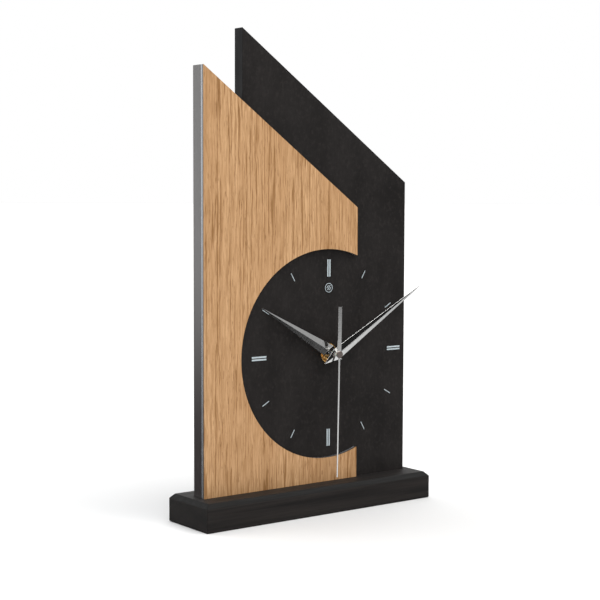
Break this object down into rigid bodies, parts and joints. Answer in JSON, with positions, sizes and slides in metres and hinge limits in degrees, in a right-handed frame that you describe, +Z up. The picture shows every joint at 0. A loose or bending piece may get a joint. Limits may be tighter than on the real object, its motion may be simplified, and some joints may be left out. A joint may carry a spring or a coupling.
{
  "type": "mantel clock",
  "caption": "Table clock: stepped black board and oak-faced panel with a round dial cut-out, polished hands, and a quartz movement on its back, standing on a dark wooden base.",
  "frame": {"origin": "middle of the base's underside", "axes": "+Z up, -Y towards the viewer of the dial, +X to the viewer's right along the base"},
  "size_m": [0.2048, 0.05, 0.35],
  "materials": {
    "base_wood": "dark stained, satin",
    "screw_steel": "zinc plated",
    "black_lacquer": "satin black lacquer on fibreboard",
    "sheet_aluminium": "satin",
    "core_black": "matte pressed laminate",
    "oak": "satin oak veneer, upright grain",
    "marker_metal": "satin, cool silver",
    "hand_metal": "polished",
    "cap_metal": "satin",
    "brass": "polished",
    "rubber": "matte",
    "case_plastic": "fine texture",
    "frame_plastic": "matte",
    "gear_plastic": "smooth",
    "knob_plastic": "smooth",
    "magnet": "matte ferrite",
    "motor_iron": "rolled",
    "coil_wire": "enamelled copper",
    "board_resin": "paper resin board",
    "chip_black": "matte",
    "crystal_can": "bright",
    "cell_steel": "bright",
    "cell_sleeve": "printed jacket",
    "contact_metal": "nickel plated"
  },
  "bodies": {
    "stand": {"base": "base_wood", "base_screws": "screw_steel", "clock_board": "black_lacquer", "aluminium_sheet": "sheet_aluminium", "panel_core": "core_black", "oak_veneer": "oak", "double_markers": "marker_metal", "single_markers": "marker_metal", "dial_emblem": "marker_metal", "threaded_bushing": "brass", "dial_washer": "brass", "dial_nut": "brass", "rubber_gasket": "rubber", "case_front": "case_plastic", "case_rear": "case_plastic", "middle_plate": "frame_plastic", "stator": "motor_iron", "coil_core": "motor_iron", "coil_bobbin": "frame_plastic", "coil_winding": "coil_wire", "circuit_board": "board_resin", "clock_chip": "chip_black", "quartz_crystal": "crystal_can", "positive_contact": "contact_metal", "negative_contact": "contact_metal"},
    "minute_works": {"minute_wheel": "gear_plastic", "minute_hand": "hand_metal"},
    "hour_works": {"hour_wheel": "gear_plastic", "hour_hand": "hand_metal"},
    "second_works": {"second_wheel": "gear_plastic", "second_hand": "hand_metal", "second_cap": "cap_metal"},
    "third_works": {"third_wheel": "gear_plastic"},
    "intermediate_works": {"intermediate_wheel": "gear_plastic"},
    "rotor": {"rotor_magnet": "magnet", "rotor_pinion": "gear_plastic"},
    "motion_works": {"motion_wheel": "gear_plastic"},
    "knob": {"setting_knob": "knob_plastic"},
    "battery": {"battery_cell": "cell_steel", "battery_sleeve": "cell_sleeve"}
  },
  "joints": [
    {"name": "minute_turn", "type": "hinge", "parent": "stand", "child": "minute_works", "pos_m": [0.0192, 0.01225, 0.1157], "axis": [0, 1, 0], "continuous": true},
    {"name": "hour_turn", "type": "hinge", "parent": "stand", "child": "hour_works", "pos_m": [0.0192, 0.0092, 0.1157], "axis": [0, 1, 0], "continuous": true},
    {"name": "second_turn", "type": "hinge", "parent": "stand", "child": "second_works", "pos_m": [0.0192, 0.01695, 0.1157], "axis": [0, 1, 0], "continuous": true},
    {"name": "third_turn", "type": "hinge", "parent": "stand", "child": "third_works", "pos_m": [0.0318, 0.01365, 0.1157], "axis": [0, 1, 0], "continuous": true},
    {"name": "intermediate_turn", "type": "hinge", "parent": "stand", "child": "intermediate_works", "pos_m": [0.02515, 0.0204, 0.12601], "axis": [0, 1, 0], "continuous": true},
    {"name": "rotor_turn", "type": "hinge", "parent": "stand", "child": "rotor", "pos_m": [0.03361, 0.0183, 0.12908], "axis": [0, 1, 0], "continuous": true},
    {"name": "motion_turn", "type": "hinge", "parent": "stand", "child": "motion_works", "pos_m": [0.01071, 0.0108, 0.12419], "axis": [0, 1, 0], "continuous": true},
    {"name": "knob_turn", "type": "hinge", "parent": "stand", "child": "knob", "pos_m": [0.00661, 0.02375, 0.13546], "axis": [0, 1, 0], "continuous": true},
    {"name": "battery_slide", "type": "slide", "parent": "stand", "child": "battery", "axis": [0, 1, 0], "range_m": [0, 0.03]}
  ],
  "couplings": [
    {"joint": "hour_turn", "follows": "minute_turn", "ratio": 0.083333},
    {"joint": "second_turn", "follows": "minute_turn", "ratio": 60},
    {"joint": "third_turn", "follows": "minute_turn", "ratio": -8},
    {"joint": "intermediate_turn", "follows": "minute_turn", "ratio": -360},
    {"joint": "rotor_turn", "follows": "minute_turn", "ratio": 1800},
    {"joint": "motion_turn", "follows": "minute_turn", "ratio": -0.33333},
    {"joint": "knob_turn", "follows": "minute_turn", "ratio": 1}
  ]
}
